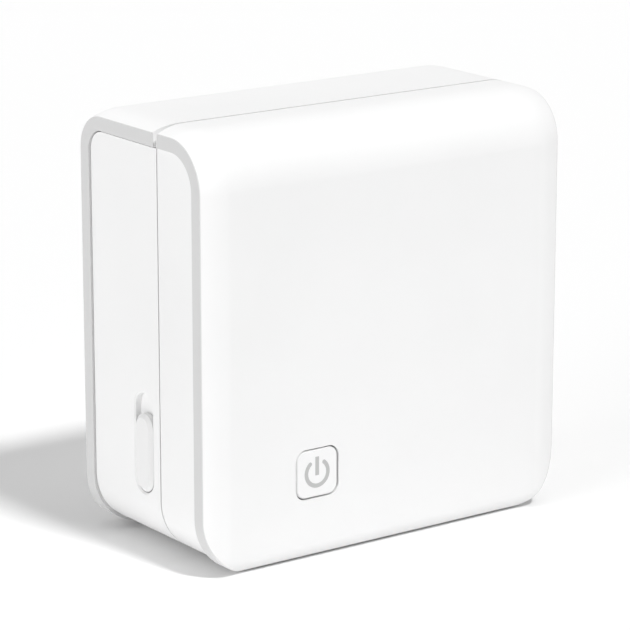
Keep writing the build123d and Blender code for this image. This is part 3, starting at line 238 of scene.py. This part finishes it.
def metal(name, base, rough, brush=(1.0, 1.0, 40.0)):
    """Rolled or turned metal: fine lines one way, a cloudy tone and dull spots."""
    m = Mat(name, base, rough, metallic=1.0)
    lines = m.noise(260.0, 4.0, 0.6, m.stretched(brush))
    cloud = m.noise(60.0, 4.0, 0.6)
    m.vary_colour(m.span(cloud, 0.35, 0.7, 0.0, 1.0), scaled(base, 0.82))
    m.vary_rough(lines, rough * 0.7, rough * 1.35)
    m.bump(lines, 0.15, 0.00003)
    return m.mat


def rubber(name, base, rough=0.75):
    """Rubber: an even grain with a little grey dust."""
    m = Mat(name, base, rough, spec=0.35)
    grain = m.noise(1100.0, 3.0, 0.7)
    dust = m.noise(140.0, 5.0, 0.65)
    m.vary_colour(m.span(dust, 0.5, 0.75, 0.0, 0.5), tone(92, 90, 86))
    m.vary_rough(dust, rough * 0.85, rough * 1.15)
    m.bump(grain, 0.35, 0.00005)
    return m.mat


case_white = moulded("case_white", tone(243, 243, 243), 0.46, grain=1500.0, grain_strength=0.10, spec=0.3,
                     rim=tone(212, 212, 212))
belt_white = moulded("belt_white", tone(243, 243, 243), 0.50, grain=1300.0, grain_strength=0.14, spec=0.3)
key_white = moulded("key_white", tone(244, 244, 244), 0.42, grain=1700.0, grain_strength=0.08, spec=0.3)
slider_white = moulded("slider_white", tone(236, 236, 236), 0.44, grain=1500.0, grain_strength=0.10, spec=0.3)
bay_white = moulded("bay_white", tone(226, 226, 223), 0.5, grain=900.0, grain_strength=0.2, tint=0.93)
nylon = moulded("nylon", tone(228, 225, 212), 0.42, grain=900.0, grain_strength=0.15, tint=0.9)
inner_black = moulded("inner_black", tone(38, 38, 40), 0.5, grain=900.0, grain_strength=0.25, tint=1.6)
steel = metal("steel", (0.56, 0.57, 0.58, 1.0), 0.24, brush=(40.0, 1.0, 1.0))
plated = metal("plated_steel", (0.62, 0.62, 0.60, 1.0), 0.34)
aluminium = metal("aluminium", (0.74, 0.75, 0.77, 1.0), 0.36)
platen_black = rubber("platen_black", tone(34, 34, 36))
feet_grey = rubber("feet_grey", tone(74, 74, 76))

FINISH = {
    "front_shell": case_white, "rear_cover": case_white, "mid_frame": belt_white,
    "power_button": key_white, "release_slider": slider_white, "paper_bay": bay_white,
    "platen_gear": nylon, "idler_gear": nylon, "motor_pinion": nylon, "battery_connector": nylon,
    "latch_link": nylon, "platen_bushings": nylon, "tact_switch": inner_black, "pcb_chips": inner_black,
    "ribbon_connector": inner_black, "paper_sensor": inner_black, "hinge_pins": steel, "platen_shaft": steel,
    "idler_stud": steel, "head_pivot_pins": steel, "cover_catch": plated, "catch_peg": steel,
    "print_chassis": plated, "platen_bracket": plated, "tear_bar": steel, "head_springs": steel,
    "latch_spring": steel,
    "case_screws": plated, "pcb_screws": plated, "chassis_screws": plated, "bracket_screws": plated,
    "stepper_motor": plated, "usb_socket": plated, "platen_rubber": platen_black, "rubber_feet": feet_grey,
    "heat_sink": aluminium,
}


def board_material():
    """Green solder mask over a faint grid of tracks, with a woven sheen."""
    m = Mat("board_green", tone(22, 84, 52), 0.3, coat=0.3)
    cells = m.node("ShaderNodeTexBrick", Scale=420.0, Mortar_Size=0.035, Color1=(0, 0, 0, 1),
                   Color2=(0.2, 0.2, 0.2, 1), Mortar=(1, 1, 1, 1))
    m.link(m.stretched((1.0, 1.0, 0.6)), cells.inputs["Vector"])
    weave = m.noise(700.0, 2.0)
    m.vary_colour(cells.outputs["Fac"], tone(38, 116, 74))
    m.vary_rough(weave, 0.24, 0.4)
    m.bump(cells.outputs["Fac"], 0.25, 0.00004)
    return m.mat


def wrap_material():
    """Shrink-wrapped battery foil: glossy, with soft creases."""
    m = Mat("battery_wrap", tone(58, 92, 150), 0.28, coat=0.2)
    crease = m.noise(120.0, 4.0, 0.6, m.stretched((0.25, 1.0, 1.0)))
    m.vary_colour(m.span(crease, 0.4, 0.7, 0.0, 1.0), tone(44, 74, 128))
    m.vary_rough(crease, 0.2, 0.42)
    m.bump(crease, 0.4, 0.00012)
    return m.mat


def ceramic_material():
    """Glazed print head: pale, speckled ceramic."""
    m = Mat("ceramic", tone(206, 200, 184), 0.2, coat=0.5)
    speckle = m.noise(900.0, 2.0)
    m.vary_colour(m.span(speckle, 0.4, 0.7, 0.0, 1.0), tone(184, 178, 160))
    m.vary_rough(speckle, 0.14, 0.28)
    m.bump(speckle, 0.06, 0.00003)
    return m.mat


def flex_material():
    """Amber flat cable with its copper tracks showing through."""
    m = Mat("flex_amber", tone(176, 110, 42), 0.26, coat=0.4)
    wave = m.node("ShaderNodeTexWave", Scale=160.0, Distortion=0.0)
    wave.bands_direction = "X"
    m.link(m.coords, wave.inputs["Vector"])
    m.vary_colour(m.span(wave.outputs["Fac"], 0.4, 0.6, 0.0, 1.0), tone(132, 76, 26))
    m.vary_rough(m.noise(300.0), 0.2, 0.34)
    m.bump(wave.outputs["Fac"], 0.3, 0.00004)
    return m.mat


def wire_material():
    """Red wire insulation, slightly mottled."""
    m = Mat("wire_red", tone(168, 28, 26), 0.45)
    skin = m.noise(700.0, 3.0)
    m.vary_colour(m.span(skin, 0.4, 0.7, 0.0, 1.0), tone(140, 20, 20))
    m.vary_rough(skin, 0.38, 0.55)
    m.bump(skin, 0.15, 0.00003)
    return m.mat


FINISH["main_pcb"] = board_material()
FINISH["battery_pack"] = wrap_material()
FINISH["thermal_head"] = ceramic_material()
FINISH["head_ribbon"] = flex_material()
FINISH["battery_lead"] = wire_material()

for name, node in nodes.items():
    for place in node.material_slots:
        place.material = FINISH[name]

# Softened edges on the moulded pieces, as every moulding has them
for name, radius in (("front_shell", 0.22), ("rear_cover", 0.22), ("mid_frame", 0.18), ("power_button", 0.12),
                     ("release_slider", 0.2), ("paper_bay", 0.2)):
    bevel = nodes[name].modifiers.new("soft_edge", "BEVEL")
    bevel.width = radius * MM
    bevel.segments = 3
    bevel.limit_method = "ANGLE"
    bevel.angle_limit = math.radians(38)
    bevel.harden_normals = True


# Pieces made here


def new_piece(name, mesh, material, body):
    """Object for a new mesh, on its body and with its material slot."""
    piece = bpy.data.objects.new(name, mesh)
    bpy.context.collection.objects.link(piece)
    mesh.materials.append(material)
    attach(piece, body)
    return piece


def prism(bm, centre, outline, y_front, y_back):
    """Closed solid of a front-view outline about centre, between two depths."""
    front = [bm.verts.new((centre[0] + x, y_front, centre[1] + z)) for x, z in outline]
    back = [bm.verts.new((centre[0] + x, y_back, centre[1] + z)) for x, z in outline]
    for i in range(len(outline)):
        j = (i + 1) % len(outline)
        bm.faces.new((front[i], front[j], back[j], back[i]))
    bm.faces.new(front)
    bm.faces.new(list(reversed(back)))


def ring_part(inner, outer, start, end, steps=48, end_steps=8):
    """Outline of part of a ring with round ends; start and end are in degrees."""
    start, end = math.radians(start), math.radians(end)
    middle, half = (inner + outer) / 2, (outer - inner) / 2

    def arc(radius, first, last):
        angles = [first + (last - first) * i / steps for i in range(steps + 1)]
        return [(radius * math.cos(a), radius * math.sin(a)) for a in angles]

    def cap(place, turn):
        angles = [turn + math.pi * i / end_steps for i in range(1, end_steps)]
        return [(middle * math.cos(place) + half * math.cos(a), middle * math.sin(place) + half * math.sin(a))
                for a in angles]

    return arc(outer, start, end) + cap(end, end) + arc(inner, end, start) + cap(start, start + math.pi)


# Power sign on the button
button_low, button_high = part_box("power_button")
button_centre = ((button_low[0] + button_high[0]) / 2, (button_low[2] + button_high[2]) / 2)
button_face = button_low[1]

print_grey = moulded("print_grey", tone(190, 190, 190), 0.5, grain=1600.0, grain_strength=0.06)
sign = bmesh.new()
sign_depths = (button_face - SIGN_PROUD, button_face + SIGN_SUNK)
ring = ring_part(SIGN_INNER, SIGN_OUTER, 90 + SIGN_HALF_GAP, 90 + 360 - SIGN_HALF_GAP)
bar = [(-BAR_HALF_WIDTH, BAR_LOW), (BAR_HALF_WIDTH, BAR_LOW), (BAR_HALF_WIDTH, BAR_HIGH),
       (-BAR_HALF_WIDTH, BAR_HIGH)]
prism(sign, button_centre, ring, *sign_depths)
prism(sign, button_centre, bar, *sign_depths)
bmesh.ops.recalc_face_normals(sign, faces=sign.faces)
sign_mesh = bpy.data.meshes.new("power_sign")
sign.to_mesh(sign_mesh)
new_piece("power_sign", sign_mesh, print_grey, "button")


def coil(name, low, high):
    """Wound wire that fills a box, with its axis upright and flat closed ends."""
    bm = bmesh.new()
    centre_x, centre_y = (low[0] + high[0]) / 2, (low[1] + high[1]) / 2
    radius = (high[0] - low[0]) / 2 - WIRE
    steps = STEPS_PER_TURN * SPRING_TURNS
    rings = []
    for i in range(steps + 1):
        share = i / steps
        turn = 2 * math.pi * SPRING_TURNS * share
        z = low[2] + WIRE + (high[2] - low[2] - 2 * WIRE) * share
        ring = []
        for j in range(WIRE_SIDES):
            around = 2 * math.pi * j / WIRE_SIDES
            reach = radius + WIRE * math.cos(around)
            ring.append(bm.verts.new((centre_x + reach * math.cos(turn), centre_y + reach * math.sin(turn),
                                      z + WIRE * math.sin(around))))
        rings.append(ring)
    for a, b in zip(rings, rings[1:]):
        for j in range(WIRE_SIDES):
            k = (j + 1) % WIRE_SIDES
            bm.faces.new((a[j], a[k], b[k], b[j]))
    bm.faces.new(rings[0])
    bm.faces.new(rings[-1])
    bmesh.ops.recalc_face_normals(bm, faces=bm.faces)
    mesh = bpy.data.meshes.new(name)
    bm.to_mesh(mesh)
    for face in mesh.polygons:
        face.use_smooth = len(face.vertices) == 4
    return mesh


# The latch spring's coil takes the node's place
spring_low, spring_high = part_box("latch_spring")
spring_mesh = coil("latch_coil", spring_low, spring_high)
spring = new_piece("latch_coil", spring_mesh, steel, "case")
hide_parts("latch_spring")
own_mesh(spring)

# Floor, light and camera

floor_mesh = bpy.data.meshes.new("floor")
corners = [(x * FLOOR_HALF, y * FLOOR_HALF, 0) for x, y in ((-1, -1), (1, -1), (1, 1), (-1, 1))]
floor_mesh.from_pydata(corners, [], [(0, 1, 2, 3)])
floor = bpy.data.objects.new("floor", floor_mesh)
bpy.context.collection.objects.link(floor)
floor_mat = Mat("floor_white", (0.98, 0.98, 0.98, 1.0), 0.7, spec=0.0)
floor_mat.vary_rough(floor_mat.noise(30.0), 0.5, 0.6)
floor_mesh.materials.append(floor_mat.mat)

world = bpy.data.worlds.new("studio")
bpy.context.scene.world = world
world.use_nodes = True
tree = world.node_tree
tree.nodes.clear()
out = tree.nodes.new("ShaderNodeOutputWorld")
soft = tree.nodes.new("ShaderNodeBackground")
soft.inputs["Color"].default_value = (1.0, 1.0, 1.0, 1.0)
soft.inputs["Strength"].default_value = WORLD_LIGHT
seen = tree.nodes.new("ShaderNodeBackground")
seen.inputs["Color"].default_value = (1.0, 1.0, 1.0, 1.0)
seen.inputs["Strength"].default_value = WORLD_SEEN
path = tree.nodes.new("ShaderNodeLightPath")
choose = tree.nodes.new("ShaderNodeMixShader")
either = tree.nodes.new("ShaderNodeMath")
either.operation = "MAXIMUM"
tree.links.new(path.outputs["Is Camera Ray"], either.inputs[0])
tree.links.new(path.outputs["Is Glossy Ray"], either.inputs[1])
tree.links.new(either.outputs[0], choose.inputs[0])
tree.links.new(soft.outputs[0], choose.inputs[1])
tree.links.new(seen.outputs[0], choose.inputs[2])
tree.links.new(choose.outputs[0], out.inputs["Surface"])


def sun(name, place, strength, spread):
    """Distant lamp that shines from place towards the origin."""
    lamp = bpy.data.lights.new(name, "SUN")
    lamp.energy = strength
    lamp.angle = math.radians(spread)
    obj = bpy.data.objects.new(name, lamp)
    bpy.context.collection.objects.link(obj)
    obj.location = place
    obj.rotation_euler = (-Vector(place)).to_track_quat("-Z", "Y").to_euler()


sun("key", (0.07, -0.575, 0.815), 1.80, 7)
sun("overhead", (0.0, 0.0, 1.0), 0.69, 50)
sun("side_fill", (-0.98, -0.08, 0.14), 1.50, 40)

scene = bpy.context.scene
camera = bpy.data.cameras.new("camera")
camera.lens = LENS
camera.sensor_width = SENSOR_WIDTH
camera.sensor_fit = "HORIZONTAL"
camera.clip_start = 0.01
camera_object = bpy.data.objects.new("camera", camera)
bpy.context.collection.objects.link(camera_object)
camera_object.location = CAMERA_PLACE
towards = Vector(CAMERA_AIM) - camera_object.location
camera_object.rotation_euler = towards.to_track_quat("-Z", "Y").to_euler()
scene.camera = camera_object

scene.view_settings.view_transform = "Standard"
